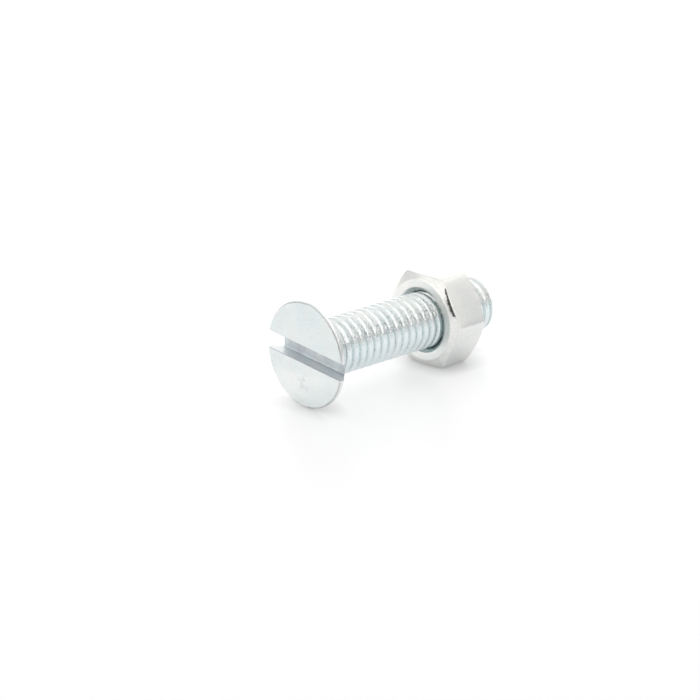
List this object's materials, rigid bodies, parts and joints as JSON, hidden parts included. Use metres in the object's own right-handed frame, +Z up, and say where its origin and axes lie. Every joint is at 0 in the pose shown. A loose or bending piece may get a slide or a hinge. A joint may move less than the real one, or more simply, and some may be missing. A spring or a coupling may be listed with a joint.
{
  "type": "machine screw with nut",
  "caption": "Slotted countersunk machine screw, threaded up to its head, with a hexagon nut turned on near the tip.",
  "frame": {"origin": "centre of the footprint on the floor the screw lies on", "axes": "+X towards the tip and the nut, +Z up, so +Y is across the screw"},
  "size_m": [0.0202, 0.009, 0.009],
  "materials": {
    "screw_steel": "bright zinc plate",
    "nut_steel": "bright zinc plate"
  },
  "bodies": {
    "screw": {"screw": "screw_steel"},
    "nut": {"nut": "nut_steel"}
  },
  "joints": [
    {"name": "nut_travel", "type": "slide", "parent": "screw", "child": "nut", "axis": [0.9994, 0, -0.0352], "range_m": [-0.0096, 0.0072]}
  ]
}
